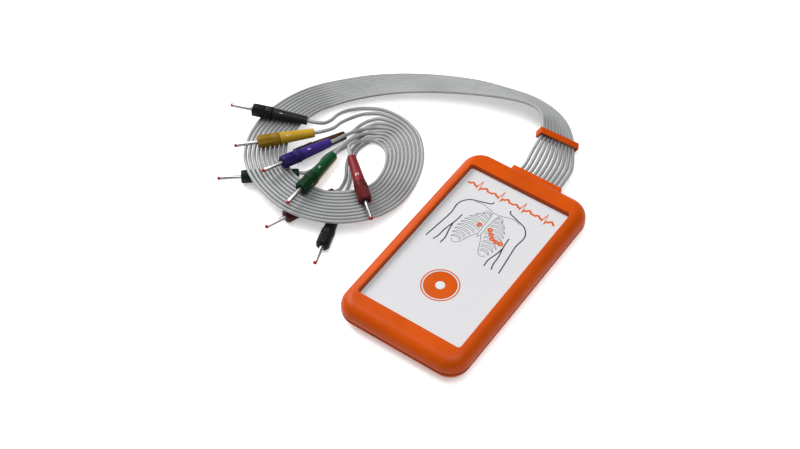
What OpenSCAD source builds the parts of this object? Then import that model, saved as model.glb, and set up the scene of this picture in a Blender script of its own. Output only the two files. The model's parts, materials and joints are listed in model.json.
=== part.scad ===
// Handheld ECG home monitor with ten patient leads.
// Millimetres. The origin is the middle of the case's underside, +Y is the cable end, +Z is up.

/* [Case] */
// Width of the case
case_w = 67; // [64:0.5:72]
// Length of the case
case_l = 115; // [112:0.5:125]
// Height of the case
case_h = 14; // [14:0.25:16]
// Corner radius of the case seen from above
corner_r = 10; // [9:0.25:12]
// Rounding of the top edge
top_round = 6; // [5:0.25:6.5]
// Rounding of the bottom edge
base_round = 6.5; // [5.5:0.25:6.5]
// Height of the middle of the parting groove
parting_z = 6.4; // [6.2:0.1:6.6]
// Width of the parting groove
parting_gap = 0.6; // [0.4:0.1:0.8]

/* [Front panel] */
// Width of the sunk front panel
panel_w = 54.6; // [50:0.1:55]
// Length of the sunk front panel
panel_l = 92.1; // [88:0.1:93]
// Depth of the panel below the rim
panel_sink = 2.8; // [2:0.1:3]
// Thickness of the panel
panel_t = 1.3; // [1.2:0.1:1.3]

/* [Start button] */
// Distance of the button from the middle of the case, towards the near end
button_back = 20.8; // [15:0.1:25]
// Radius of the button cap
button_r = 7.5; // [6:0.1:8]
// Radius of the white dot in the cap
dot_r = 2.3; // [1.5:0.1:2.6]
// Travel of the button
button_travel = 0.4; // [0.2:0.05:0.4]

/* [Battery] */
// Width of the battery pack
battery_w = 34; // [30:0.5:34.5]
// Length of the battery pack
battery_l = 52; // [46:0.5:52]
// Thickness of the battery pack
battery_t = 3.8; // [3:0.1:3.8]

/* [Leads] */
// Number of patient leads
lead_count = 10; // [10:10]
// Diameter of one lead
lead_d = 1.8; // [1.5:0.1:1.8]
// Facets round a lead
lead_sides = 8; // [8:8]

/* [Lead plugs] */
// Length of a plug's body
plug_l = 28; // [26:0.5:28]
// Radius of a plug at the lead
plug_rear_r = 2.2; // [1.8:0.1:2.3]
// Radius of a plug at the front
plug_front_r = 3.4; // [3:0.1:3.4]
// Radius of the steel pin
pin_r = 1; // [0.8:0.05:1]
// Length of the pin outside the plug, without its coloured end
pin_out = 10.5; // [9:0.1:11]

/* [Hidden] */

$fn = 96;
eps = 0.01;
far = 200;

// The flat-bottomed space inside, and the levels that everything in it is stacked on.
floor_t = 1.6;
wall_t = 2.4;
low_inset = 4;
low_step_z = 4;
low_wide_inset = 2.2;
panel_top = case_h - panel_sink;
panel_base = panel_top - panel_t;
ledge_t = 1.5;
ledge_base = panel_base - ledge_t;
ledge_in = 2.8;
panel_corner = 1.5;
panel_play = 0.1;
upper_z = parting_z + parting_gap / 2;
lower_z = parting_z - parting_gap / 2;
rim_core_in = 1.5;
rim_core_top = case_h - 3.6;
seal_in = 0.7;

// Circuit board
board_t = 1;
board_top = ledge_base - 0.3;
board_base = board_top - board_t;
board_w = 56;
board_l = 98;
board_edge = board_l / 2;
board_corner = 2;
board_boss_play = 0.4;
board_hole_play = 0.2;

// Flat components on the board, each as x, y, width, length and thickness
processor_size = [-13, -3, 9, 9, 0.9];
memory_size = [4, -3, 6, 5, 0.8];
front_end_size = [0, 18, 9, 9, 0.9];
shield_size = [0, 18, 20, 20, 1.4];
shield_room = [0, 18, 19.4, 19.4, 1.1];
radio_size = [13, -36, 12, 14, 1.4];
resistor_y = 38;
resistor_size = [1.4, 2.8, 0.7];

// Screws: four close the case, four hold the board.
case_screw = [24.5, 50];
case_screw_r = 1;
case_head_r = 1.9;
case_head_t = 1.3;
case_head_z = 0.5;
case_screw_top = 10.5;
case_screw_play = 0.1;
case_head_play = 0.2;
case_hex = [0.9, 0.7];
case_boss_r = 2.8;
case_boss_split = 5.5;
boss_cap = 0.8;
screw_tip_room = 0.3;
boss_foot = 0.6;
board_screw = [21.5, 36];
board_screw_r = 0.9;
board_head_r = 1.6;
board_head_t = 1;
board_boss_r = 2.4;
board_screw_down = 3;
board_hex = [0.8, 0.5];

// Battery bay and its hinged door
door_t = 1.5;
door_sink = 0.1;
door_half_w = 18.9;
door_far_y = 30;
door_play = 0.4;
hinge_y = -29;
hinge_z = 1.3;
hinge_barrel_r = 1.2;
hinge_pin_r = 0.6;
hinge_bore_r = 0.65;
hinge_pin_out = 1.6;
hinge_gap = 0.3;
hinge_room_z = 2.8;
hinge_hole_out = 1.5;
notch_r = 5;
notch_in = 6;
notch_top = 0.6;
bay_open_z = 0.5;
bay_hinge_wall = 4;
window_half_w = 8;
window_y = 26;
bay_half_w = 17.6;
bay_near_y = -27.3;
bay_far_y = 28.3;
bay_wall = 3.6;
tray_base = 5.9;
tray_t = 0.8;
battery_base = 2;
battery_y = -0.6;
battery_corner = 1.5;
pad_size = [28, 44];
pad_corner = 2;
pad_t = 0.4;

// The bent springs that reach the battery's end
contact_x = [-5, 0, 5];
contact_w = 2;
contact_t = 0.3;
contact_gap = 0.05;
contact_foot = 2;
contact_post = 1.9;
contact_low = 2.8;
contact_knee = 3.9;
contact_high = 5;
contact_nose = 0.4;
contact_bend = 0.2;

// Cable entry, a little to the right of the centre line
gland_x = 1.2;
gland_w = 27;
gland_out_y = 59.7;
gland_in_y = 56;
gland_z = [3.2, 11];
gland_round = 1;
neck_w = 24.8;
neck_z = [5.2, 8.3];
flange_w = 26;
flange_z = [4.6, 8.3];
flange_y = [53.3, 55];
flange_round = 0.5;
lead_exit_z = 7;
lead_pitch = 2.36;
wire_bore_r = 0.95;
wire_r = 0.8;
connector_y = 51.4;
connector_w = 24.6;
connector_base = 6;
connector_round = 0.3;
wire_end_y = 57.3;

// Start button under the panel
button_play = 0.3;
button_gap = 0.05;
flange_r = 8.8;
flange_t = 0.5;
flange_top = panel_base - button_gap;
dot_t = 0.6;
dome_r = 3.6;
dome_t = 0.15;
dome_rise = button_travel + 0.3;
nub_r = 1.3;
nub_t = flange_top - flange_t - board_top - dome_rise - button_gap;

// The band of leads: the outermost and the innermost lead follow these two rails, and the
// others lie evenly between them. It leaves the gland flat, leans over on its outer edge
// through the first turn, flattens out again and runs once round over the plugs under it.
outer_rail = [
    [11.8, 59.7, 7], [11.8, 66, 7], [9.5, 77.5, 5], [2, 90.7, 3.6], [-3.5, 98.5, 2.2],
    [-11.5, 105.5, 1.2], [-21.5, 109.5, 1], [-33, 110.5, 1], [-46, 108.5, 1], [-62, 104.5, 1],
    [-79, 97, 1], [-95, 87.5, 1], [-109, 76.5, 1], [-119, 66, 1], [-126.5, 56, 1.5],
    [-130.5, 45, 3.5], [-132, 32, 6.5], [-132, 18, 8.5], [-130, 5.5, 8.5], [-124.5, -6, 8.5],
    [-115.5, -14.5, 8.5], [-103, -20.5, 8.5], [-88, -23.5, 8.5], [-74, -21.5, 8.5],
    [-61, -15.5, 8.5], [-50.5, -4, 7.5], [-46.5, 11.5, 4.5], [-48.5, 28, 2], [-54.8, 44, 1],
    [-65, 55.8, 1], [-77, 61, 1]
];
inner_rail = [
    [-9.4, 59.7, 7], [-9.4, 65.5, 7], [-10.3, 73.5, 9.3], [-11, 82.8, 12.5], [-13.7, 87.8, 13.5],
    [-17, 92.5, 13.5], [-22, 95.5, 13], [-29.5, 96.3, 12], [-40, 94, 11], [-53.5, 90, 9],
    [-70, 82.5, 7.5], [-86, 72.5, 6.5], [-98, 62.5, 5.5], [-106, 53.5, 5], [-111.5, 45.5, 4.5],
    [-113.5, 37.5, 6.5], [-114, 27, 8.8], [-114, 20, 8.5], [-113, 13, 8.5], [-109, 5.5, 8.5],
    [-103, -1, 8.5], [-95.5, -4.5, 8.5], [-86.5, -5.5, 8.5], [-78, -4.5, 8.5], [-71, -0.5, 8.5],
    [-65.5, 6, 7.5], [-63.5, 15.5, 4.5], [-65.5, 26, 2], [-68.8, 33.8, 1.2], [-72.8, 38.8, 1],
    [-78, 41, 1.2]
];
// Where each lead goes after the band, on its way to its plug
fans = [
    [[-89.4, 60.7, 1.2], [-98.5, 56.3, 1], [-103.5, 49.5, 2.5], [-104.3, 42, 5.5], [-103, 35, 8.5],
        [-103.2, 29.8, 10.8]],
    [[-89.2, 57.8, 1], [-95.7, 53, 1.5], [-98.8, 46, 3], [-99.5, 38, 6], [-98.4, 30.4, 9.4]],
    [[-87.5, 55, 1], [-91.6, 50.8, 1], [-93.4, 46.3, 1], [-93.6, 42.6, 1.5]],
    [[-86, 52.2, 1], [-89.6, 47.5, 1], [-91.1, 41.5, 1], [-91.6, 35, 1], [-93.2, 27, 1],
        [-95.2, 18.5, 1], [-94.2, 11.4, 1.2]],
    [[-84.9, 49.2, 1.3], [-88.3, 44.5, 2.7], [-90.9, 38.5, 4.7], [-92.3, 31.5, 6.9]],
    [[-84, 47.3, 1], [-87.5, 43.1, 1], [-89, 36.8, 1], [-90.4, 30, 1.6]],
    [[-83.4, 45.3, 1.3], [-86.9, 40.8, 3.2], [-88.3, 33.5, 6], [-88.1, 26, 8.5]],
    [[-82.8, 43.1, 1.1], [-86.2, 38.3, 1], [-86.9, 31, 1], [-83.8, 21.5, 1], [-78.4, 13.2, 1.3]],
    [[-82.3, 41, 1], [-84.1, 36.3, 1], [-84.5, 30, 1], [-80.8, 21, 1], [-75, 11.8, 1.3]],
    [[-81.8, 39.4, 2.5], [-84.4, 34.3, 5.1], [-85, 28.5, 8.8], [-83.5, 23.3, 11.8]]
];
// Each plug: the point where its lead enters it, its heading and its tilt in degrees, its colour
plugs = [
    [[-110.2, 25.2, 12.1], 201, 2.5, "#26282a"],
    [[-102.6, 20.7, 12.1], 229.5, 2.5, "#c79a22"],
    [[-95.2, 35, 2.25], 247.5, 3.9, "#5d3a22"],
    [[-98.6, 2.3, 2.25], 223, 3.9, "#12301f"],
    [[-94.2, 21.9, 9.2], 252, 8.5, "#3a2f86"],
    [[-91.4, 20.8, 2.25], 273.5, 3.9, "#c79a22"],
    [[-86.8, 15, 11.1], 273.5, 5, "#1f5233"],
    [[-77.4, 2.1, 2.25], 252.5, 3.9, "#5a1518"],
    [[-70.2, -2.5, 2.25], 289.5, 3.9, "#26282a"],
    [[-77.7, 17.5, 13.1], 320, -2, "#7c1a20"]
];
lead_straight = 4;
steps_per_point = 2;

// Plug body, as radius against distance from the lead's end
plug_collar = 1.4;
plug_rear_chamfer = 0.3;
plug_waist = 17.2;
plug_step = 18;
plug_chamfer = 0.5;
plug_neck_r = 3;
pin_in = 9;
shank_r = pin_r - 0.2;

// Clip round the band: it sits at this point of the rails
clip_at = 3;
clip_l = 22;
clip_run = 3.8;
clip_plate = 0.8;
clip_slot_l = 20.4;
clip_slot_h = 3.5;
clip_round = 0.4;

orange = "#d9581a";
deep_orange = "#c24a14";
white = "#e4e4e6";
board_green = "#1f5a3c";
steel = "#c9ccd0";
black = "#202224";
grey = "#a9abae";

// ---------- shared shapes ----------

module rounded_plan(w, l, r) {
    square([w - 2 * r, l], center = true);
    square([w, l - 2 * r], center = true);
    for (x = [-1, 1], y = [-1, 1])
        translate([x * (w / 2 - r), y * (l / 2 - r)]) circle(r = r);
}

module plate(w, l, r, z0, z1) {
    translate([0, 0, z0]) linear_extrude(height = z1 - z0) rounded_plan(w, l, r);
}

// A box between two corners
module block(low, high) {
    translate(low) cube(high - low);
}

module quarter(r, way) {
    intersection() {
        circle(r = r);
        translate([0, way > 0 ? 0 : -r]) square(r);
    }
}

// Half of the case's cross-section, from the middle out to its rounded side
module edge_half(reach) {
    square([reach - base_round, case_h]);
    translate([0, base_round]) square([reach - top_round, case_h - base_round]);
    translate([0, base_round]) square([reach, case_h - base_round - top_round]);
    translate([reach - base_round, base_round]) quarter(base_round, -1);
    translate([reach - top_round, case_h - top_round]) quarter(top_round, 1);
}

module edge_whole(reach) {
    edge_half(reach);
    mirror([1, 0]) edge_half(reach);
}

// The outside of the closed case
module case_form() {
    rotate([90, 0, 0])
        linear_extrude(height = case_l - 2 * corner_r, center = true) edge_whole(case_w / 2);
    rotate([90, 0, 90])
        linear_extrude(height = case_w - 2 * corner_r, center = true) edge_whole(case_l / 2);
    for (x = [-1, 1], y = [-1, 1])
        translate([x * (case_w / 2 - corner_r), y * (case_l / 2 - corner_r), 0])
            rotate_extrude() edge_half(corner_r);
}

module at_corners(place) {
    for (x = [-1, 1], y = [-1, 1]) translate([x * place[0], y * place[1], 0]) children();
}

// A rounded bar along Y between two heights, centred on the cable entry
module gland_bar(w, z, y, r) {
    translate([gland_x, y[0], (z[0] + z[1]) / 2])
        rotate([-90, 0, 0]) linear_extrude(height = y[1] - y[0]) rounded_plan(w, z[1] - z[0], r);
}

// The room that both shells and the seal leave for the gland
module gland_room() {
    gland_bar(gland_w, gland_z, [gland_in_y, far], gland_round);
    gland_bar(neck_w, neck_z, [flange_y[1] - 1, far], gland_round);
    gland_bar(flange_w, flange_z, flange_y, flange_round);
}

// ---------- case ----------

module lower_shell() {
    color(orange) difference() {
        union() {
            difference() {
                intersection() {
                    case_form();
                    block([-far, -far, -1], [far, far, lower_z]);
                }
                plate(case_w - 2 * low_inset, case_l - 2 * low_inset, corner_r - low_inset, floor_t, far);
                plate(case_w - 2 * low_wide_inset, case_l - 2 * low_wide_inset,
                    corner_r - low_wide_inset, low_step_z, far);
            }
            block([-bay_half_w - bay_wall, hinge_y - bay_hinge_wall, floor_t - eps],
                [bay_half_w + bay_wall, bay_far_y + bay_wall, tray_base + tray_t]);
            at_corners(case_screw) translate([0, 0, boss_foot])
                cylinder(r = case_boss_r, h = case_boss_split - boss_foot);
            at_corners(board_screw) translate([0, 0, boss_foot])
                cylinder(r = board_boss_r, h = board_base - boss_foot);
        }
        // battery bay, its door and the hinge
        block([-bay_half_w, bay_near_y, bay_open_z], [bay_half_w, bay_far_y, tray_base]);
        block([-door_half_w - door_play, hinge_y - hinge_barrel_r - hinge_gap, -1],
            [door_half_w + door_play, door_far_y + door_play, floor_t]);
        block([-door_half_w - door_play, hinge_y - hinge_barrel_r - hinge_gap, bay_open_z],
            [door_half_w + door_play, bay_near_y + eps, hinge_room_z]);
        translate([0, hinge_y, hinge_z]) rotate([0, 90, 0])
            cylinder(r = hinge_bore_r, h = 2 * (door_half_w + door_play + hinge_hole_out), center = true);
        // window for the contact springs
        block([-window_half_w, window_y, tray_base - eps], [window_half_w, bay_far_y, far]);
        // screws
        at_corners(case_screw) {
            translate([0, 0, -1])
                cylinder(r = case_head_r + case_head_play, h = 1 + case_head_z + case_head_t);
            cylinder(r = case_screw_r + case_screw_play, h = far);
        }
        at_corners(board_screw) translate([0, 0, 3]) cylinder(r = board_screw_r, h = far);
        gland_room();
    }
}

module upper_housing() {
    color(orange) difference() {
        union() {
            difference() {
                intersection() {
                    case_form();
                    block([-far, -far, upper_z], [far, far, far]);
                }
                plate(case_w - 2 * wall_t, case_l - 2 * wall_t, corner_r - wall_t, 0, ledge_base);
                plate(panel_w - 2 * ledge_in, panel_l - 2 * ledge_in, panel_corner, 0, far);
                plate(panel_w, panel_l, panel_corner, panel_base, far);
                // the rim is cored out from below, between the panel's seat and the wall
                difference() {
                    plate(case_w - 2 * wall_t, case_l - 2 * wall_t, corner_r - wall_t, 0, rim_core_top);
                    plate(panel_w + 2 * rim_core_in, panel_l + 2 * rim_core_in, panel_corner, -1, far);
                }
            }
            at_corners(case_screw) translate([0, 0, case_boss_split])
                cylinder(r = case_boss_r, h = case_screw_top + boss_cap - case_boss_split);
        }
        at_corners(case_screw) cylinder(r = case_screw_r, h = case_screw_top + screw_tip_room);
        gland_room();
    }
}

module perimeter_seal() {
    color(black) difference() {
        plate(case_w - 2 * seal_in, case_l - 2 * seal_in, corner_r - seal_in, lower_z, upper_z);
        plate(case_w - 2 * wall_t, case_l - 2 * wall_t, corner_r - wall_t, 0, far);
        gland_room();
    }
}

module front_panel() {
    color(white) difference() {
        plate(panel_w - 2 * panel_play, panel_l - 2 * panel_play, panel_corner - panel_play,
            panel_base, panel_top);
        translate([0, -button_back, 0]) cylinder(r = button_r + button_play, h = far);
    }
}

// ---------- start button ----------

module start_button() {
    color(orange) translate([0, -button_back, 0]) difference() {
        union() {
            translate([0, 0, flange_top - eps]) cylinder(r = button_r, h = panel_top - flange_top + eps);
            translate([0, 0, flange_top - flange_t]) cylinder(r = flange_r, h = flange_t);
            translate([0, 0, flange_top - flange_t - nub_t]) cylinder(r = nub_r, h = nub_t + eps);
        }
        translate([0, 0, panel_top - dot_t]) cylinder(r = dot_r, h = far);
    }
}

module button_dot() {
    color("white") translate([0, -button_back, panel_top - dot_t]) cylinder(r = dot_r, h = dot_t);
}

// Snap dome on the board, just touched by the button's nub
module switch_dome() {
    ball_r = (dome_r * dome_r + dome_rise * dome_rise) / (2 * dome_rise);
    color(steel) translate([0, -button_back, board_top]) intersection() {
        translate([0, 0, dome_rise - ball_r]) difference() {
            sphere(r = ball_r);
            sphere(r = ball_r - dome_t);
        }
        cylinder(r = dome_r + 1, h = dome_rise + 1);
    }
}

// ---------- electronics ----------

module main_board() {
    color(board_green) difference() {
        plate(board_w, board_l, board_corner, board_base, board_top);
        at_corners(case_screw) cylinder(r = case_boss_r + board_boss_play, h = far);
        at_corners(board_screw) cylinder(r = board_screw_r + board_hole_play, h = far);
    }
}

module component(c) {
    block([c[0] - c[2] / 2, c[1] - c[3] / 2, board_top],
        [c[0] + c[2] / 2, c[1] + c[3] / 2, board_top + c[4]]);
}

module processor() {
    color(black) component(processor_size);
}

module memory_chip() {
    color(black) component(memory_size);
}

module front_end_chip() {
    color(black) component(front_end_size);
}

module front_end_shield() {
    color(steel) difference() {
        component(shield_size);
        translate([0, 0, -eps]) component(shield_room);
    }
}

module radio_module() {
    color(steel) component(radio_size);
}

// Where each lead enters, counted from the right side
function lead_x(i) = gland_x + lead_pitch * ((lead_count - 1) / 2 - i);

module protection_resistors() {
    color(black) for (i = [0:lead_count - 1])
        component(concat([lead_x(i), resistor_y], resistor_size));
}

module lead_connector() {
    color("ivory") gland_bar(connector_w, [connector_base, neck_z[1]], [board_edge, connector_y],
        connector_round);
}

module inner_wires() {
    color(grey) for (i = [0:lead_count - 1])
        translate([lead_x(i), connector_y, lead_exit_z])
            rotate([-90, 0, 0]) cylinder(r = wire_r, h = wire_end_y - connector_y);
}

// ---------- cable entry and clip ----------

module cable_gland() {
    color(deep_orange) difference() {
        union() {
            gland_bar(gland_w, gland_z, [gland_in_y, gland_out_y], gland_round);
            gland_bar(neck_w, neck_z, [flange_y[1] - eps, gland_in_y + eps], gland_round);
            gland_bar(flange_w, flange_z, flange_y, flange_round);
        }
        for (i = [0:lead_count - 1])
            translate([lead_x(i), 0, lead_exit_z])
                rotate([-90, 0, 0]) cylinder(r = wire_bore_r, h = wire_end_y);
    }
}

function unit(v) = v / norm(v);

// The clip's own axes: across the band, along it and square to both
clip_mid = (outer_rail[clip_at] + inner_rail[clip_at]) / 2;
clip_across = unit(outer_rail[clip_at] - inner_rail[clip_at]);
clip_rough = outer_rail[clip_at + 1] + inner_rail[clip_at + 1]
    - outer_rail[clip_at - 1] - inner_rail[clip_at - 1];
clip_up = unit(cross(clip_across, clip_rough));
clip_along = cross(clip_up, clip_across);

module on_clip() {
    multmatrix([
        [clip_across[0], clip_along[0], clip_up[0], clip_mid[0]],
        [clip_across[1], clip_along[1], clip_up[1], clip_mid[1]],
        [clip_across[2], clip_along[2], clip_up[2], clip_mid[2]],
        [0, 0, 0, 1]
    ]) children();
}

// One half of the clip, up or down from the band's middle
module clip_half(way) {
    color(deep_orange) on_clip() mirror([0, 0, way > 0 ? 0 : 1]) difference() {
        linear_extrude(height = clip_slot_h / 2 + clip_plate)
            rounded_plan(clip_l, clip_run, clip_round);
        block([-clip_slot_l / 2, -clip_run, -1], [clip_slot_l / 2, clip_run, clip_slot_h / 2]);
    }
}

module clip_upper() {
    clip_half(1);
}

module clip_lower() {
    clip_half(-1);
}

// ---------- battery ----------

module battery_pack() {
    color("#35507a") translate([0, battery_y, 0])
        plate(battery_w, battery_l, battery_corner, battery_base, battery_base + battery_t);
}

// Three bent springs that reach from the board to the end of the battery
module battery_contacts() {
    end_y = battery_y + battery_l / 2 + contact_gap;
    post = end_y + contact_post;
    inner = post - contact_t;
    color("#c8a24a") for (x = contact_x)
        translate([x - contact_w / 2, 0, 0]) rotate([90, 0, 90])
            linear_extrude(height = contact_w) polygon([
            [end_y - contact_foot, board_base], [post, board_base], [post, contact_high],
            [end_y + contact_nose, contact_knee], [post, contact_low], [inner, contact_low - contact_bend],
            [end_y, contact_knee], [inner, contact_high + contact_bend],
            [inner, board_base - contact_t], [end_y - contact_foot, board_base - contact_t]
        ]);
}

module battery_door() {
    color(deep_orange) {
        difference() {
            block([-door_half_w, hinge_y, door_sink], [door_half_w, door_far_y, door_t]);
            translate([0, door_far_y - notch_in, -1]) cylinder(r = notch_r, h = 1 + notch_top);
        }
        translate([0, hinge_y, hinge_z]) rotate([0, 90, 0]) {
            cylinder(r = hinge_barrel_r, h = 2 * door_half_w, center = true);
            cylinder(r = hinge_pin_r, h = 2 * (door_half_w + hinge_pin_out), center = true);
        }
    }
}

module door_pad() {
    color(black) plate(pad_size[0], pad_size[1], pad_corner, door_t, door_t + pad_t);
}

// ---------- screws ----------

module case_screws() {
    color(steel) at_corners(case_screw) translate([0, 0, case_head_z]) difference() {
        union() {
            cylinder(r = case_head_r, h = case_head_t);
            cylinder(r = case_screw_r, h = case_screw_top - case_head_z);
        }
        translate([0, 0, -eps]) cylinder(r = case_hex[0], h = case_hex[1], $fn = 6);
    }
}

module board_screws() {
    color(steel) at_corners(board_screw) difference() {
        union() {
            translate([0, 0, board_top]) cylinder(r = board_head_r, h = board_head_t);
            translate([0, 0, board_base - board_screw_down])
                cylinder(r = board_screw_r, h = board_screw_down + board_t + board_head_t / 2);
        }
        translate([0, 0, board_top + board_head_t - board_hex[1]])
            cylinder(r = board_hex[0], h = board_hex[1] + eps, $fn = 6);
    }
}

// ---------- leads ----------

function heading(p) = [cos(p[2]) * cos(p[1]), cos(p[2]) * sin(p[1]), sin(p[2])];

// All the points that one lead passes, from the gland to its plug
function lead_points(i) = concat(
    [for (j = [0:len(outer_rail) - 1])
        outer_rail[j] + (inner_rail[j] - outer_rail[j]) * i / (lead_count - 1)],
    fans[i],
    [plugs[i][0] - lead_straight * heading(plugs[i]), plugs[i][0]]
);

// A point between b and c on the smooth curve through a, b, c and d
function between(a, b, c, d, t) =
    b + (c - a) * t / 2 + (2 * a - 5 * b + 4 * c - d) * t * t / 2
    + (3 * b - a - 3 * c + d) * t * t * t / 2;

function smooth(p) = let (n = len(p)) concat(
    [for (i = [0:n - 2], s = [0:steps_per_point - 1])
        between(i > 0 ? p[i - 1] : 2 * p[0] - p[1], p[i], p[i + 1],
            i < n - 2 ? p[i + 2] : 2 * p[n - 1] - p[n - 2], s / steps_per_point)],
    [p[n - 1]]
);

// The ring of corners round point i of a path
function ring(path, i, first, last) =
    let (
        n = len(path),
        along = i == 0 ? first : i == n - 1 ? last : unit(path[i + 1] - path[i - 1]),
        side = unit(cross(along, [0, 0, 1])),
        up = cross(side, along)
    )
    [for (k = [0:lead_sides - 1]) let (a = 360 * k / lead_sides)
        path[i] + lead_d / 2 * (cos(a) * side + sin(a) * up)];

module tube(path, first, last) {
    n = len(path);
    m = lead_sides;
    corners = [for (i = [0:n - 1]) each ring(path, i, first, last)];
    walls = [for (i = [0:n - 2], k = [0:m - 1])
        let (a = i * m + k, b = i * m + (k + 1) % m) each [[a, a + m, b + m], [a, b + m, b]]];
    near_end = [[for (k = [0:m - 1]) k]];
    far_end = [[for (k = [m - 1:-1:0]) (n - 1) * m + k]];
    polyhedron(points = corners, faces = concat(walls, near_end, far_end));
}

module lead(i) {
    color(grey) tube(smooth(lead_points(i)), [0, 1, 0], heading(plugs[i]));
}

// Places its children with +Z along the plug, from the point where the lead enters
module on_plug(i) {
    translate(plugs[i][0]) rotate([0, -plugs[i][2], plugs[i][1]]) rotate([0, 90, 0]) children();
}

module plug(i) {
    color(plugs[i][3]) on_plug(i) difference() {
        rotate_extrude() polygon([
            [0, 0], [plug_rear_r - plug_rear_chamfer, 0], [plug_rear_r, plug_rear_chamfer],
            [plug_rear_r, plug_collar], [plug_neck_r, plug_waist], [plug_front_r, plug_step],
            [plug_front_r, plug_l - plug_chamfer], [plug_front_r - plug_chamfer, plug_l], [0, plug_l]
        ]);
        translate([0, 0, plug_l - pin_in]) cylinder(r = shank_r, h = far);
    }
}

module plug_pins() {
    color(steel) for (i = [0:lead_count - 1]) on_plug(i) translate([0, 0, plug_l]) {
        translate([0, 0, -pin_in]) cylinder(r = shank_r, h = pin_in + 1);
        cylinder(r = pin_r, h = pin_out);
    }
}

module pin_ends() {
    color("#b3282c") for (i = [0:lead_count - 1]) on_plug(i) translate([0, 0, plug_l + pin_out])
        intersection() {
            sphere(r = pin_r);
            cylinder(r = 2 * pin_r, h = 2 * pin_r);
        }
}

lower_shell();
upper_housing();
perimeter_seal();
front_panel();
start_button();
button_dot();
switch_dome();
main_board();
processor();
memory_chip();
front_end_chip();
front_end_shield();
radio_module();
protection_resistors();
lead_connector();
inner_wires();
cable_gland();
clip_upper();
clip_lower();
battery_pack();
battery_contacts();
battery_door();
door_pad();
case_screws();
board_screws();
lead(0);  // lead_1
lead(1);  // lead_2
lead(2);  // lead_3
lead(3);  // lead_4
lead(4);  // lead_5
lead(5);  // lead_6
lead(6);  // lead_7
lead(7);  // lead_8
lead(8);  // lead_9
lead(9);  // lead_10
plug(0);  // plug_1
plug(1);  // plug_2
plug(2);  // plug_3
plug(3);  // plug_4
plug(4);  // plug_5
plug(5);  // plug_6
plug(6);  // plug_7
plug(7);  // plug_8
plug(8);  // plug_9
plug(9);  // plug_10
plug_pins();
pin_ends();
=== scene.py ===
import json
import math

import bmesh
import bpy
from mathutils import Matrix, Vector


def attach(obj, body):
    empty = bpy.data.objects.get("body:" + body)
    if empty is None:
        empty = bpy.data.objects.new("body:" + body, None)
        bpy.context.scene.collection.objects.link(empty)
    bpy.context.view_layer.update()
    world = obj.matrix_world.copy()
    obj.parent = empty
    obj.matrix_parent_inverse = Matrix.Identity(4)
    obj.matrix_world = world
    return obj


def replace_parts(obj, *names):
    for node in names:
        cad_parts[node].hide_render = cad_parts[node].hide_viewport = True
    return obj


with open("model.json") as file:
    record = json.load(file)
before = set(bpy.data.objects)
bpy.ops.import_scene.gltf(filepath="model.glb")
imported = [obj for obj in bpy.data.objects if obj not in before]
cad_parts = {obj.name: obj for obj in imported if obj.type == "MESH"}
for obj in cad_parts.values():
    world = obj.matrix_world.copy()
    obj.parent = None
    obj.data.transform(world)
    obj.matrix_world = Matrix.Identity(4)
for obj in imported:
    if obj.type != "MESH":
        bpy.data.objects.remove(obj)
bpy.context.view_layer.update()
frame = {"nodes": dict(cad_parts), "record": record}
print("frame loaded")

mm = 0.001


def linkObject(name, data):
    thing = bpy.data.objects.new(name, data)
    bpy.context.scene.collection.objects.link(thing)
    return thing


# ---- camera ----

camera = {
    "place": Vector((0.23866, -0.37637, 0.57126)),
    "azimuth": 36.21,  # degrees, from straight over the near end towards the right side
    "elevation": 50.38,
    "roll": -1.2,
    "lens": 70.644,
    "sensor": 36.0,
}


def makeCamera(values):
    a, e, roll = (math.radians(values[key]) for key in ("azimuth", "elevation", "roll"))
    back = Vector((math.sin(a) * math.cos(e), -math.cos(a) * math.cos(e), math.sin(e)))
    level = Vector((math.cos(a), math.sin(a), 0))
    right = level * math.cos(roll) + back.cross(level) * math.sin(roll)
    data = bpy.data.cameras.new("camera")
    data.lens = values["lens"]
    data.sensor_width = values["sensor"]
    thing = linkObject("camera", data)
    turn = Matrix((right, back.cross(right), back)).transposed()
    thing.matrix_world = Matrix.Translation(values["place"]) @ turn.to_4x4()
    bpy.context.scene.camera = thing


makeCamera(camera)

# ---- leads ----

leads = {
    "count": 10,
    "diameter": 0.0018,
    "straight": 0.004,  # the stretch before each plug that runs in line with it
    "roundness": 5,
    "steps": 8,
    "lengths": (0.480, 0.460, 0.421, 0.435, 0.396, 0.378, 0.368, 0.364, 0.351, 0.317),
}
# the outermost and the innermost lead of the band, and the rest lie evenly between them
outerRail = [
    (0.0118, 0.0597, 0.007), (0.0118, 0.066, 0.007), (0.0095, 0.0775, 0.005), (0.002, 0.0907, 0.0036),
    (-0.0035, 0.0985, 0.0022), (-0.0115, 0.1055, 0.0012), (-0.0215, 0.1095, 0.001), (-0.033, 0.1105, 0.001),
    (-0.046, 0.1085, 0.001), (-0.062, 0.1045, 0.001), (-0.079, 0.097, 0.001), (-0.095, 0.0875, 0.001),
    (-0.109, 0.0765, 0.001), (-0.119, 0.066, 0.001), (-0.1265, 0.056, 0.0015), (-0.1305, 0.045, 0.0035),
    (-0.132, 0.032, 0.0065), (-0.132, 0.018, 0.0085), (-0.13, 0.0055, 0.0085), (-0.1245, -0.006, 0.0085),
    (-0.1155, -0.0145, 0.0085), (-0.103, -0.0205, 0.0085), (-0.088, -0.0235, 0.0085),
    (-0.074, -0.0215, 0.0085), (-0.061, -0.0155, 0.0085), (-0.0505, -0.004, 0.0075),
    (-0.0465, 0.0115, 0.0045), (-0.0485, 0.028, 0.002), (-0.0548, 0.044, 0.001), (-0.065, 0.0558, 0.001),
    (-0.077, 0.061, 0.001),
]
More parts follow.
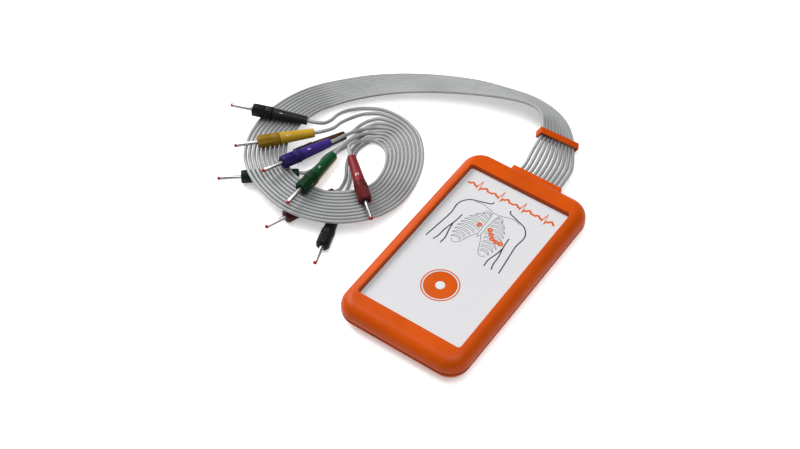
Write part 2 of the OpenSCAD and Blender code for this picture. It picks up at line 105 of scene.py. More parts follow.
innerRail = [
    (-0.0094, 0.0597, 0.007), (-0.0094, 0.0655, 0.007), (-0.0103, 0.0735, 0.0093), (-0.011, 0.0828, 0.0125),
    (-0.0137, 0.0878, 0.0135), (-0.017, 0.0925, 0.0135), (-0.022, 0.0955, 0.013), (-0.0295, 0.0963, 0.012),
    (-0.04, 0.094, 0.011), (-0.0535, 0.09, 0.009), (-0.07, 0.0825, 0.0075), (-0.086, 0.0725, 0.0065),
    (-0.098, 0.0625, 0.0055), (-0.106, 0.0535, 0.005), (-0.1115, 0.0455, 0.0045), (-0.1135, 0.0375, 0.0065),
    (-0.114, 0.027, 0.0088), (-0.114, 0.02, 0.0085), (-0.113, 0.013, 0.0085), (-0.109, 0.0055, 0.0085),
    (-0.103, -0.001, 0.0085), (-0.0955, -0.0045, 0.0085), (-0.0865, -0.0055, 0.0085),
    (-0.078, -0.0045, 0.0085), (-0.071, -0.0005, 0.0085), (-0.0655, 0.006, 0.0075),
    (-0.0635, 0.0155, 0.0045), (-0.0655, 0.026, 0.002), (-0.0688, 0.0338, 0.0012), (-0.0728, 0.0388, 0.001),
    (-0.078, 0.041, 0.0012),
]
fans = [  # where each lead goes after the band
    [(-0.0894, 0.0607, 0.0012), (-0.0985, 0.0563, 0.001), (-0.1035, 0.0495, 0.0025),
     (-0.1043, 0.042, 0.0055), (-0.103, 0.035, 0.0085), (-0.1032, 0.0298, 0.0108)],
    [(-0.0892, 0.0578, 0.001), (-0.0957, 0.053, 0.0015), (-0.0988, 0.046, 0.003), (-0.0995, 0.038, 0.006),
     (-0.0984, 0.0304, 0.0094)],
    [(-0.0875, 0.055, 0.001), (-0.0916, 0.0508, 0.001), (-0.0934, 0.0463, 0.001),
     (-0.0936, 0.0426, 0.0015)],
    [(-0.086, 0.0522, 0.001), (-0.0896, 0.0475, 0.001), (-0.0911, 0.0415, 0.001), (-0.0916, 0.035, 0.001),
     (-0.0932, 0.027, 0.001), (-0.0952, 0.0185, 0.001), (-0.0942, 0.0114, 0.0012)],
    [(-0.0849, 0.0492, 0.0013), (-0.0883, 0.0445, 0.0027), (-0.0909, 0.0385, 0.0047),
     (-0.0923, 0.0315, 0.0069)],
    [(-0.084, 0.0473, 0.001), (-0.0875, 0.0431, 0.001), (-0.089, 0.0368, 0.001), (-0.0904, 0.03, 0.0016)],
    [(-0.0834, 0.0453, 0.0013), (-0.0869, 0.0408, 0.0032), (-0.0883, 0.0335, 0.006),
     (-0.0881, 0.026, 0.0085)],
    [(-0.0828, 0.0431, 0.0011), (-0.0862, 0.0383, 0.001), (-0.0869, 0.031, 0.001),
     (-0.0838, 0.0215, 0.001), (-0.0784, 0.0132, 0.0013)],
    [(-0.0823, 0.041, 0.001), (-0.0841, 0.0363, 0.001), (-0.0845, 0.03, 0.001), (-0.0808, 0.021, 0.001),
     (-0.075, 0.0118, 0.0013)],
    [(-0.0818, 0.0394, 0.0025), (-0.0844, 0.0343, 0.0051), (-0.085, 0.0285, 0.0088),
     (-0.0835, 0.0233, 0.0118)],
]
plugs = [  # where the lead enters, heading and tilt in degrees, finish
    ((-0.1102, 0.0252, 0.0121), 201, 2.5, "black"),
    ((-0.1026, 0.0207, 0.0121), 229.5, 2.5, "yellow"),
    ((-0.0952, 0.035, 0.00225), 247.5, 3.9, "brown"),
    ((-0.0986, 0.0023, 0.00225), 223, 3.9, "darkGreen"),
    ((-0.0942, 0.0219, 0.0092), 252, 8.5, "violet"),
    ((-0.0914, 0.0208, 0.00225), 273.5, 3.9, "yellow"),
    ((-0.0868, 0.015, 0.0111), 273.5, 5, "green"),
    ((-0.0774, 0.0021, 0.00225), 252.5, 3.9, "maroon"),
    ((-0.0702, -0.0025, 0.00225), 289.5, 3.9, "black"),
    ((-0.0777, 0.0175, 0.0131), 320, -2, "red"),
]


def plugAxis(plug):
    heading, tilt = math.radians(plug[1]), math.radians(plug[2])
    return Vector((math.cos(tilt) * math.cos(heading), math.cos(tilt) * math.sin(heading), math.sin(tilt)))


def leadRoute(i):
    share = i / (leads["count"] - 1)
    band = [Vector(a).lerp(Vector(b), share) for a, b in zip(outerRail, innerRail)]
    end = Vector(plugs[i][0])
    return band + [Vector(p) for p in fans[i]] + [end - plugAxis(plugs[i]) * leads["straight"], end]


def makeLead(i):
    route = leadRoute(i)
    data = bpy.data.curves.new(f"lead{i + 1}", "CURVE")
    data.dimensions = "3D"
    data.bevel_depth = leads["diameter"] / 2
    data.bevel_resolution = leads["roundness"]
    data.resolution_u = leads["steps"]
    data.use_fill_caps = True
    spline = data.splines.new("BEZIER")
    last = len(route) - 1
    spline.bezier_points.add(last)
    for k, point in enumerate(spline.bezier_points):
        before, after = max(k - 1, 0), min(k + 1, last)
        reach = (route[after] - route[before]) / (after - before) / 3  # a third of the way on
        point.handle_left_type = point.handle_right_type = "FREE"
        point.co = route[k]
        point.handle_left = route[k] - reach
        point.handle_right = route[k] + reach
    return linkObject(f"lead{i + 1}", data)


leadCurves = [makeLead(i) for i in range(leads["count"])]
print("leads laid")

# ---- shader maths ----


class Flow:
    # one socket of a material, so that sums on it read as sums
    def __init__(self, surface, socket):
        self.surface = surface
        self.socket = socket

    def maths(self, operation, *values):
        return self.surface.add("ShaderNodeMath", {"operation": operation}, values)

    def __add__(self, other):
        return self.maths("ADD", self, other)

    def __radd__(self, other):
        return self.maths("ADD", other, self)

    def __sub__(self, other):
        return self.maths("SUBTRACT", self, other)

    def __rsub__(self, other):
        return self.maths("SUBTRACT", other, self)

    def __mul__(self, other):
        return self.maths("MULTIPLY", self, other)

    def __rmul__(self, other):
        return self.maths("MULTIPLY", other, self)

    def __truediv__(self, other):
        return self.maths("DIVIDE", self, other)

    def __rtruediv__(self, other):
        return self.maths("DIVIDE", other, self)

    def between(self, low, high):
        smooth = {"interpolation_type": "SMOOTHSTEP"}
        return self.surface.add("ShaderNodeMapRange", smooth, (self, low, high))


class Surface:
    # one material being put together
    def __init__(self, name, **fixed):
        self.material = bpy.data.materials.new(name)
        self.material.use_nodes = True
        self.tree = self.material.node_tree
        self.shader = self.tree.nodes["Principled BSDF"]
        for key, value in fixed.items():
            self.shader.inputs[key.replace("_", " ")].default_value = value

    def add(self, kind, settings, values, output=0):
        node = self.tree.nodes.new(kind)
        for key, value in settings.items():
            setattr(node, key, value)
        pairs = values.items() if isinstance(values, dict) else enumerate(values)
        for key, value in pairs:
            self.feed(node.inputs[key], value)
        return Flow(self, node.outputs[output])

    def feed(self, socket, value):
        if isinstance(value, Flow):
            self.tree.links.new(value.socket, socket)
        else:
            socket.default_value = value

    def place(self):
        return self.add("ShaderNodeTexCoord", {}, {}, "Object")

    def stretched(self, scales):
        return self.add("ShaderNodeMapping", {}, {"Vector": self.place(), "Scale": scales})

    def noise(self, size, detail, at=None):
        values = {"Vector": at or self.place(), "Scale": 1 / size, "Detail": detail}
        return self.add("ShaderNodeTexNoise", {}, values)

    def cells(self, size):
        return self.add("ShaderNodeTexVoronoi", {}, {"Vector": self.place(), "Scale": 1 / size})

    def blend(self, first, second, mask):
        return self.add("ShaderNodeMix", {"data_type": "RGBA"}, {0: mask, 6: first, 7: second}, 2)

    def colour(self, value):
        self.feed(self.shader.inputs["Base Color"], value)

    def roughness(self, value):
        self.feed(self.shader.inputs["Roughness"], value)

    def relief(self, height, depth):
        bump = self.add("ShaderNodeBump", {}, {"Height": height, "Distance": depth, "Strength": 1.0})
        self.feed(self.shader.inputs["Normal"], bump)


def tint(colour, factor):
    return (*(min(1.0, c * factor) for c in colour), 1)


def mouldedPlastic(name, colour, rough=0.34, grain=0.00035, depth=0.00001, coat=0.0):
    # satin injection moulding: a fine eroded grain, and slow drifts of shade
    darker, paler, driftSize, smudgeSize, dulling = 0.93, 1.06, 0.018, 0.006, 0.07
    pitSize, pitShare = grain * 1.6, 0.6
    s = Surface(name, Coat_Weight=coat, Specular_IOR_Level=0.1)
    drift = s.noise(driftSize, 3).between(0.3, 0.7)
    s.colour(s.blend(tint(colour, darker), tint(colour, paler), drift))
    smudge = s.noise(smudgeSize, 4).between(0.35, 0.75)
    s.roughness(rough + dulling * smudge)
    s.relief(s.noise(grain, 2) + pitShare * s.cells(pitSize), depth)
    return s.material


def leadSheath(name, colour):
    # soft plastic sheath, a little glossy, with handling marks
    darker, paler, driftSize, wearSize = 0.9, 1.08, 0.02, 0.004
    rough, dulling, rippleSize, depth = 0.34, 0.12, 0.0006, 0.000012
    s = Surface(name, Specular_IOR_Level=0.5)
    worn = s.noise(wearSize, 4).between(0.4, 0.8)
    drift = s.noise(driftSize, 2).between(0.3, 0.7)
    s.colour(s.blend(tint(colour, darker), tint(colour, paler), drift))
    s.roughness(rough + dulling * worn)
    s.relief(s.noise(rippleSize, 3), depth)
    return s.material


def printedFilm(name, colour):
    # matt hard-coated plastic sheet
    darker, paler, driftSize, hazeSize = 0.985, 1.01, 0.03, 0.008
    rough, dulling, toothSize, depth = 0.38, 0.06, 0.00018, 0.000003
    s = Surface(name, Specular_IOR_Level=0.25)
    s.colour(s.blend(tint(colour, darker), tint(colour, paler), s.noise(driftSize, 2)))
    s.roughness(rough + dulling * s.noise(hazeSize, 4))
    s.relief(s.noise(toothSize, 1), depth)
    return s.material


def ink(name, colour):
    # screen print, with the faint tooth of its mesh
    darker, paler, meshSize, rough, dulling, patchSize = 0.92, 1.05, 0.0007, 0.45, 0.05, 0.002
    s = Surface(name, Specular_IOR_Level=0.15)
    s.colour(s.blend(tint(colour, darker), tint(colour, paler), s.noise(meshSize, 3)))
    s.roughness(rough + dulling * s.noise(patchSize, 2))
    return s.material


def turnedMetal(name, colour, rough=0.22, along=(1, 1, 1)):
    # plated steel with fine turning marks
    darker, paler, stainSize, markSize, dulling, depth = 0.86, 1.05, 0.003, 0.0003, 0.12, 0.000004
    s = Surface(name, Metallic=1.0)
    marks = s.noise(markSize, 2, at=s.stretched(along))
    s.colour(s.blend(tint(colour, darker), tint(colour, paler), s.noise(stainSize, 3)))
    s.roughness(rough + dulling * marks)
    s.relief(marks, depth)
    return s.material


def softFoam(name, colour):
    darker, paler, poreSize, rough, dulling, depth = 0.6, 1.2, 0.0005, 0.85, 0.1, 0.00008
    s = Surface(name, Specular_IOR_Level=0.2)
    pores = s.cells(poreSize)
    s.colour(s.blend(tint(colour, darker), tint(colour, paler), pores))
    s.roughness(rough + dulling * pores)
    s.relief(pores, depth)
    return s.material


def circuitBoard(name, mask, trace):
    # solder mask over rows of copper traces
    pitch, wander, wanderSize = 0.0011, 0.002, 0.02
    rough, dulling, hazeSize, depth = 0.3, 0.08, 0.005, 0.00003
    s = Surface(name, Specular_IOR_Level=0.5)
    across = s.add("ShaderNodeSeparateXYZ", {}, (s.place(),), "X")
    wave = across.maths("PINGPONG", across + wander * s.noise(wanderSize, 0), pitch) / pitch
    lines = wave.between(0.55, 0.75)
    s.colour(s.blend((*mask, 1), (*trace, 1), lines))
    s.roughness(rough + dulling * s.noise(hazeSize, 3))
    s.relief(lines, depth)
    return s.material


finishes = {
    "case_orange": mouldedPlastic("caseOrange", (0.40, 0.052, 0.001)),
    "button_orange": mouldedPlastic("buttonOrange", (0.42, 0.058, 0.001), rough=0.4, depth=0.000004),
    "moulding_orange": mouldedPlastic("mouldingOrange", (0.41, 0.05, 0.001), grain=0.00025),
    "seal_black": mouldedPlastic("sealRubber", (0.02, 0.012, 0.01), rough=0.7),
    "panel_white": printedFilm("panelFilm", (0.45, 0.45, 0.463)),
    "dot_white": mouldedPlastic("dotWhite", (0.48, 0.48, 0.49), rough=0.4, depth=0.000003),
    "spring_steel": turnedMetal("springSteel", (0.6, 0.6, 0.6)),
    "board_green": circuitBoard("solderMask", (0.012, 0.12, 0.05), (0.03, 0.2, 0.08)),
    "chip_black": mouldedPlastic("chipEpoxy", (0.02, 0.02, 0.022), rough=0.6, depth=0.00002),
    "tinned_steel": turnedMetal("tinnedSteel", (0.66, 0.66, 0.68), rough=0.35, along=(1, 6, 1)),
    "connector_ivory": mouldedPlastic("connectorIvory", (0.68, 0.62, 0.46), rough=0.5),
    "wire_grey": leadSheath("innerWire", (0.33, 0.34, 0.335)),
    "battery_blue": mouldedPlastic("batteryWrap", (0.03, 0.09, 0.25), rough=0.25, grain=0.002,
                                   coat=0.3),
    "contact_gold": turnedMetal("contactGold", (0.85, 0.6, 0.22)),
    "foam_black": softFoam("doorFoam", (0.03, 0.03, 0.03)),
    "screw_steel": turnedMetal("screwSteel", (0.55, 0.55, 0.57), rough=0.3),
    "lead_grey": leadSheath("leadSheath", (0.225, 0.23, 0.232)),
    "pin_steel": turnedMetal("pinSteel", (0.36, 0.355, 0.35), rough=0.28),
    "pin_end_red": mouldedPlastic("pinEndRed", (0.26, 0.008, 0.012), rough=0.25, depth=0.000003,
                                  coat=0.3),
}
plugColours = {
    "black": (0.012, 0.012, 0.013),
    "yellow": (0.36, 0.21, 0.012),
    "darkGreen": (0.003, 0.022, 0.010),
    "violet": (0.030, 0.016, 0.135),
    "brown": (0.045, 0.02, 0.009),
    "green": (0.005, 0.045, 0.014),
    "maroon": (0.075, 0.005, 0.008),
    "red": (0.15, 0.014, 0.018),
}
frontDepth = 0.5  # the front barrels are this much darker
for name, colour in plugColours.items():
    front = tuple(c * frontDepth for c in colour)
    finishes[name] = mouldedPlastic(f"{name}Grip", colour, rough=0.36, depth=0.000008)
    finishes[name + "Front"] = mouldedPlastic(f"{name}Front", front, rough=0.42, depth=0.000012)
inks = {
    "orange": ink("orangeInk", (0.46, 0.065, 0.001)),
    "charcoal": ink("charcoalInk", (0.03, 0.035, 0.042)),
    "paleGrey": ink("paleGreyInk", (0.17, 0.18, 0.195)),
    "white": ink("whiteInk", (0.55, 0.55, 0.55)),
}
nodeSlots = {part["node"]: part["material_slot"] for part in frame["record"]["subparts"]}
for name, node in frame["nodes"].items():
    slot = nodeSlots[name]
    if slot not in finishes:  # a plug's colour
        words = slot.split("_")[1:]
        slot = words[0] + "".join(word.title() for word in words[1:])
    node.data.materials.clear()
    node.data.materials.append(finishes[slot])
print("finishes made")

# ---- mesh tools ----


def finishMesh(name, bm, materials, sharp=35):
    bmesh.ops.recalc_face_normals(bm, faces=bm.faces)
    mesh = bpy.data.meshes.new(name)
    bm.to_mesh(mesh)
    bm.free()
    mesh.shade_smooth()
    mesh.set_sharp_from_angle(angle=math.radians(sharp))
    for material in materials:
        mesh.materials.append(material)
    return linkObject(name, mesh)


def bridgeRings(bm, rings, closed=False, ends=True, slots=None):
    # quads between neighbouring rings of as many points each
    made = [[bm.verts.new(p) for p in ring] for ring in rings]
    count = len(made[0])
    pairs = list(zip(made, made[1:])) + ([(made[-1], made[0])] if closed else [])
    for k, (low, high) in enumerate(pairs):
        for i in range(count):
            j = (i + 1) % count
            face = bm.faces.new((low[i], low[j], high[j], high[i]))
            face.material_index = slots[k] if slots else 0
    if ends and not closed:
        bm.faces.new(made[0][::-1]).material_index = slots[0] if slots else 0
        bm.faces.new(made[-1]).material_index = slots[-1] if slots else 0


def roundedOutline(halfX, halfY, radius, z, steps=14):
    points = []
    for quarter, (sx, sy) in enumerate(((1, 1), (-1, 1), (-1, -1), (1, -1))):
        for k in range(steps + 1):
            a = math.pi / 2 * (quarter + k / steps)
            points.append(Vector((sx * (halfX - radius) + radius * math.cos(a),
                                  sy * (halfY - radius) + radius * math.sin(a), z)))
    return points


def turned(profile, sides, matrix, shape=None):
    # rings of a turned part, from (distance along, radius) pairs
    rings = []
    for along, radius in profile:
        ring = []
        for k in range(sides):
            a = 2 * math.pi * k / sides
            r = radius * (shape(a, along) if shape else 1)
            ring.append(matrix @ Vector((r * math.cos(a), r * math.sin(a), along)))
        rings.append(ring)
    return rings


def uprightMatrix(place, axis, up):
    # +Z along axis, +X as near to up as it can be
    x = (up - axis * up.dot(axis)).normalized()
    turn = Matrix((x, axis.cross(x), axis)).transposed()
    return Matrix.Translation(place) @ turn.to_4x4()


# ---- case ----

case = {
    "half": (33.5 * mm, 57.5 * mm),
    "corner": 10 * mm,
    "crown": 6 * mm,  # rounding of the top edge
    "grooveTop": 6.7 * mm,
    "grooveBevel": 0.25 * mm,
    "crownStart": 8 * mm,
    "top": 14 * mm,
    "wall": 2.4 * mm,
    "recess": (27.3 * mm, 46.05 * mm),
    "recessCorner": 1.5 * mm,
    "recessEdge": 0.4 * mm,
    "seat": 9.9 * mm,
    "ledge": (24.5 * mm, 43.25 * mm, 8.4 * mm),
    "arcSteps": 14,
    "bevelSteps": 3,
    "edgeSteps": 5,
}


def makeUpperCase(c):
    halfX, halfY = c["half"]
    recessX, recessY = c["recess"]
    edge = c["recessEdge"]

    def section(inset, z):
        return roundedOutline(halfX - inset, halfY - inset, c["corner"] - inset, z)

    rings = [section(c["wall"], c["grooveTop"])]
    bevel = c["grooveBevel"]
    for k in range(c["bevelSteps"] + 1):
        a = math.pi / 2 * k / c["bevelSteps"]
        rings.append(section(bevel * (1 - math.sin(a)), c["grooveTop"] + bevel * (1 - math.cos(a))))
    widest = halfX - recessX - edge  # where the crown meets the recess's rounded edge
    for k in range(c["arcSteps"] + 1):
        a = math.acos(1 - widest / c["crown"]) * k / c["arcSteps"]
        rings.append(section(c["crown"] * (1 - math.cos(a)), c["crownStart"] + c["crown"] * math.sin(a)))
    for k in range(c["edgeSteps"] + 1):
        a = math.pi / 2 * k / c["edgeSteps"]
        grow = edge * (1 - math.sin(a))
        z = c["top"] - edge * (1 - math.cos(a))
        rings.append(roundedOutline(recessX + grow, recessY + grow, c["recessCorner"] + grow, z))
    rings.append(roundedOutline(recessX, recessY, c["recessCorner"], c["seat"]))
    ledgeX, ledgeY, ledgeZ = c["ledge"]
    rings.append(roundedOutline(ledgeX, ledgeY, c["recessCorner"], c["seat"]))
    rings.append(roundedOutline(ledgeX, ledgeY, c["recessCorner"], ledgeZ))
    rings.append(section(c["wall"], ledgeZ))
    bm = bmesh.new()
    bridgeRings(bm, rings, closed=True)
    piece = finishMesh("upperCase", bm, [finishes["case_orange"]], sharp=40)
    weight = piece.modifiers.new("weight", "WEIGHTED_NORMAL")
    weight.keep_sharp = True
    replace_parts(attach(piece, "monitor"), "upper_housing")


makeUpperCase(case)


def smoothNodes(names, angle=30, merge=0.000001):
    # solids with round faces are shaded round
    for name in names:
        node = frame["nodes"][name]
        node.data.shade_smooth()
        weld = node.modifiers.new("weld", "WELD")
        weld.merge_threshold = merge
        node.data.set_sharp_from_angle(angle=math.radians(angle))
        flats = node.modifiers.new("flats", "WEIGHTED_NORMAL")  # keeps the wide faces flat
        flats.weight = 100
        flats.keep_sharp = True


smoothNodes(["lower_shell", "battery_door", "switch_dome", "case_screws", "battery_pack"])
print("case made")

# ---- button ----

point = 0.02 * mm  # radius at which the end of a turned piece closes
button = {
    "centre": (0, -20.8 * mm),
    "radius": 7.74 * mm,
    "top": 11.2 * mm,
    "foot": 9.5 * mm,
    "edge": 0.35 * mm,
    "edgeSteps": 4,
    "sides": 96,
    "dotRadius": 2.3 * mm,
    "dotGap": 0.03 * mm,
    "dotDepth": 0.6 * mm,
    "dotEdge": 0.15 * mm,
    "dotFlat": 0.6,  # share of the dot's radius that is flat
    "dotSides": 64,
    "ringRadius": 8.75 * mm,
    "ringWidth": 0.62 * mm,
}


def makeButton(b):
    place = Matrix.Translation((*b["centre"], 0))
    edge, dotEdge, fall = b["edge"], b["dotEdge"], 0.02 * mm  # fall: how far the faces dip at the dot
    hole, dotFoot = b["dotRadius"], b["top"] - b["dotDepth"]
    cap = [(b["foot"], point), (b["foot"], b["radius"])]
    for k in range(b["edgeSteps"] + 1):
        a = math.pi / 2 * k / b["edgeSteps"]
        cap.append((b["top"] - edge * (1 - math.sin(a)), b["radius"] - edge * (1 - math.cos(a))))
    cap += [(b["top"] - fall, hole + dotEdge), (b["top"] - dotEdge, hole)]
    cap += [(dotFoot, hole), (dotFoot, point)]
    bm = bmesh.new()
    bridgeRings(bm, turned(cap, b["sides"], place))
    piece = finishMesh("buttonCap", bm, [finishes["button_orange"]])
    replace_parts(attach(piece, "button"), "start_button")
    rim = hole - b["dotGap"]
    dot = [(dotFoot, rim), (b["top"] - 0.1 * mm, rim), (b["top"] - fall, hole - dotEdge),
           (b["top"], hole * b["dotFlat"]), (b["top"], point)]
    bm = bmesh.new()
    bridgeRings(bm, turned(dot, b["dotSides"], place))
    piece = finishMesh("buttonDot", bm, [finishes["dot_white"]])
    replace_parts(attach(piece, "button"), "button_dot")


makeButton(button)

# ---- printing on the panel ----

prints = {
    "level": 11.2 * mm,
    "lift": 0.03 * mm,  # how far the ink stands on the film
    "overLift": 0.054 * mm,  # and where it is printed over another ink
    "dark": 0.62 * mm,
    "pale": 0.36 * mm,
    "trace": 1 * mm,
    "dots": 0.78 * mm,
    "mitre": 0.6,  # least share that a corner's mitre may come down to
}


def inkLine(bm, points, width, level, closed=False):
    # a flat ribbon along points given in millimetres, its corners mitred
    path = [Vector((x * mm, y * mm)) for x, y in points]
    count = len(path)
    sides = []
    for k in range(count):
        before = path[k - 1] if k or closed else path[0]
        after = path[(k + 1) % count] if k < count - 1 or closed else path[-1]
        towards, onward = (path[k] - before).normalized(), (after - path[k]).normalized()
        along = (towards + onward).normalized()
        mitre = max(prints["mitre"], along.dot(onward), along.dot(towards))
        out = Vector((-along.y, along.x)) * width / 2 / mitre
        sides.append([bm.verts.new((*(path[k] + out * s), level)) for s in (-1, 1)])
    for k in range(count if closed else count - 1):
        a, b = sides[k], sides[(k + 1) % count]
        bm.faces.new((a[0], b[0], b[1], a[1]))


def circlePoints(x, y, radius, count):
    turns = [math.radians(360 * k / count) for k in range(count)]
    return [(x + radius * math.cos(a), y + radius * math.sin(a)) for a in turns]


def smoothLine(corners, steps=8):
    # a smooth line through a few points
    line = []
    for k in range(len(corners) - 1):
        b, c = Vector(corners[k]), Vector(corners[k + 1])
        a = Vector(corners[k - 1]) if k else 2 * b - c
        d = Vector(corners[k + 2]) if k < len(corners) - 2 else 2 * c - b
        for j in range(steps):
            t = j / steps
            line.append(tuple(b + (c - a) * t / 2 + (2 * a - 5 * b + 4 * c - d) * t**2 / 2
                              + (3 * b - a - 3 * c + d) * t**3 / 2))
    return line + [tuple(corners[-1])]


def printPiece(name, material, draw, lift=prints["lift"], share=0.8):
    # share: how much of the lift is ink, the rest a hair's gap over the film
    bm = bmesh.new()
    draw(bm, prints["level"] + lift)
    bmesh.ops.recalc_face_normals(bm, faces=bm.faces)
    for face in bm.faces:
        if face.normal.z < 0:
            face.normal_flip()
    bmesh.ops.solidify(bm, geom=bm.faces[:], thickness=lift * share)
    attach(finishMesh(name, bm, [material]), "monitor")


def drawRing(bm, level):
    x, y = (v / mm for v in button["centre"])
    ring = circlePoints(x, y, button["ringRadius"] / mm, button["sides"])
    inkLine(bm, ring, button["ringWidth"], level, closed=True)


trace = {  # millimetres
    "from": -24,
    "level": 37.6,
    "beat": 12,
    "beats": 4,
    "shape": [(0, 0), (1.5, 0), (2.1, 0.7), (2.8, 0.95), (3.4, 0.6), (3.9, 0), (4.9, 0), (5.3, -0.7),
              (6.2, 4), (7.1, -1.7), (7.6, 0), (8.5, 0), (9.1, 0.8), (9.9, 1.2), (10.6, 0.7), (11.1, 0)],
}


def drawTrace(bm, level):
    # one plain heartbeat after another across the top of the panel
    starts = [trace["from"] + trace["beat"] * n for n in range(trace["beats"] + 1)]
    line = [(start + x, trace["level"] + y) for start in starts[:-1] for x, y in trace["shape"]]
    inkLine(bm, line + [(starts[-1], trace["level"])], prints["trace"], level)


figure = {  # millimetres from its middle line, and up the panel
    "middle": -2,
    "outer": [(4.6, 33.8), (5.4, 32.2), (10, 30.6), (15.3, 28.6), (18.3, 24), (17.9, 17), (18.7, 9.5),
              (19.9, -0.5)],
    "arm": [(12.9, 19.2), (13.4, 14), (14.7, 7.5), (15, 2.8), (15.9, -0.5)],
    "flank": [(13.6, 12.6), (12.9, 8), (11.8, 3.5), (12, -0.5)],
    "collar": [(1.6, 28.3), (4.5, 29), (8.5, 30), (12.5, 29)],
    "arch": [(0.9, 13.8), (2.1, 11.8), (3.9, 8), (5.2, 4.9), (7.4, 3.3), (9.6, 4.6)],
    "sternum": [(-1.9, 27.6), (-1.1, 24.4), (-0.8, 17), (-0.7, 13.8), (0, 12), (0.7, 13.8), (0.8, 17),
                (1.1, 24.4), (1.9, 27.6), (0, 28.2), (-1.9, 27.6)],
    "reach": [5.4, 7.9, 9.6, 10.6, 11.2, 11.5, 11.4, 11, 10.2],  # one for each rib
    "ribTop": 26.4,
    "ribGap": 2.45,
    "ribDepth": 1.05,
    "ribFrom": 1.5,
    "ribStep": 0.95,  # how much further out each rib below the fifth begins
    "ribRise": (1, 0.6, -1.1),  # at a third and three quarters of its length, and at its end
    "dots": [(-2.9, 18.6), (2.9, 18.6), (4.7, 16.6), (6.5, 14.7), (8.95, 14.1), (11.4, 14.3)],
    "dotRadius": 0.88,
    "dotCentre": 0.28,
}


def figureLine(bm, points, side, width, level):
    inkLine(bm, smoothLine([(figure["middle"] + side * x, y) for x, y in points]), width, level)


def drawTorso(bm, level):
    for side in (-1, 1):
        for name in ("outer", "arm", "flank"):
            figureLine(bm, figure[name], side, prints["dark"], level)


def ribLeaf(n, reach):
    y = figure["ribTop"] - figure["ribGap"] * n
    x = figure["ribFrom"] + figure["ribStep"] * max(0, n - 4)
    near, far = x + 0.35 * (reach - x), x + 0.78 * (reach - x)
    nearRise, farRise, endRise = figure["ribRise"]
    low = y - figure["ribDepth"]
    return [(x, y), (near, y + nearRise), (far, y + farRise), (reach, y + endRise), (far, low + farRise),
            (near, low + nearRise), (x, low)]


def drawRibs(bm, level):
    figureLine(bm, figure["sternum"], 1, prints["pale"], level)
    for side in (-1, 1):
        for name in ("collar", "arch"):
            figureLine(bm, figure[name], side, prints["pale"], level)
        for n, reach in enumerate(figure["reach"]):
            figureLine(bm, ribLeaf(n, reach), side, prints["pale"], level)


def drawPlacements(bm, level):
    for x, y in figure["dots"]:
        x += figure["middle"]
        inkLine(bm, circlePoints(x, y, figure["dotRadius"], 28), prints["dots"], level, closed=True)
        centre = circlePoints(x, y, figure["dotCentre"], 12)
        bm.faces.new([bm.verts.new((a * mm, b * mm, level)) for a, b in centre])


printPiece("buttonRing", inks["orange"], drawRing)
printPiece("pulseTrace", inks["orange"], drawTrace)
printPiece("torsoLines", inks["charcoal"], drawTorso)
printPiece("ribLines", inks["paleGrey"], drawRibs)
printPiece("placementDots", inks["orange"], drawPlacements, lift=prints["overLift"])
print("printing made")

# ---- cable entry and clip ----

gland = {
    "low": Vector((-12.3, 56, 3.2)) * mm,
    "high": Vector((14.7, 59.7, 11)) * mm,
    "round": 0.7 * mm,
    "collar": 1.22 * mm,
    "collarReach": 0.45 * mm,
    "collarTaper": 0.9,
    "collarSides": 20,
}


def softBlock(bm, low, high, radius, steps=4):
    made = bmesh.ops.create_cube(bm, size=1)["verts"]
    middle, size = (low + high) / 2, high - low
    for vert in made:
        vert.co = Vector(c * s for c, s in zip(vert.co, size)) + middle
    edges = list({edge for vert in made for edge in vert.link_edges})
    bmesh.ops.bevel(bm, geom=edges, offset=radius, segments=steps, profile=0.5, affect="EDGES")


def makeGland(g):
    bm = bmesh.new()
    softBlock(bm, g["low"], g["high"], g["round"])
    core, collar, reach = leads["diameter"] / 2, g["collar"], g["collarReach"]
    profile = [(-reach, core), (-reach, collar), (reach * 0.4, collar), (reach, collar * g["collarTaper"]),
               (reach, core)]
    for i in range(leads["count"]):
        place = uprightMatrix(leadRoute(i)[0], Vector((0, 1, 0)), Vector((0, 0, 1)))
        bridgeRings(bm, turned(profile, g["collarSides"], place), ends=False)
    piece = finishMesh("glandBlock", bm, [finishes["moulding_orange"]])
    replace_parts(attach(piece, "monitor"), "cable_gland")
    return piece


clip = {
    "station": 3,  # the point of the rails where it sits
    "length": 22 * mm,
    "run": 3.8 * mm,
    "half": 2.55 * mm,
    "slotLength": 20.4 * mm,
    "slotHalf": 1.75 * mm,
    "gap": 0.06 * mm,
    "round": 0.3 * mm,
    "roundSteps": 3,
}


def clipMatrix(c):
    n = c["station"]
    outer, inner = [Vector(p) for p in outerRail], [Vector(p) for p in innerRail]
    across = (outer[n] - inner[n]).normalized()
    rough = outer[n + 1] + inner[n + 1] - outer[n - 1] - inner[n - 1]
    up = across.cross(rough).normalized()
    turn = Matrix((across, up.cross(across), up)).transposed()
    return Matrix.Translation((outer[n] + inner[n]) / 2) @ turn.to_4x4()


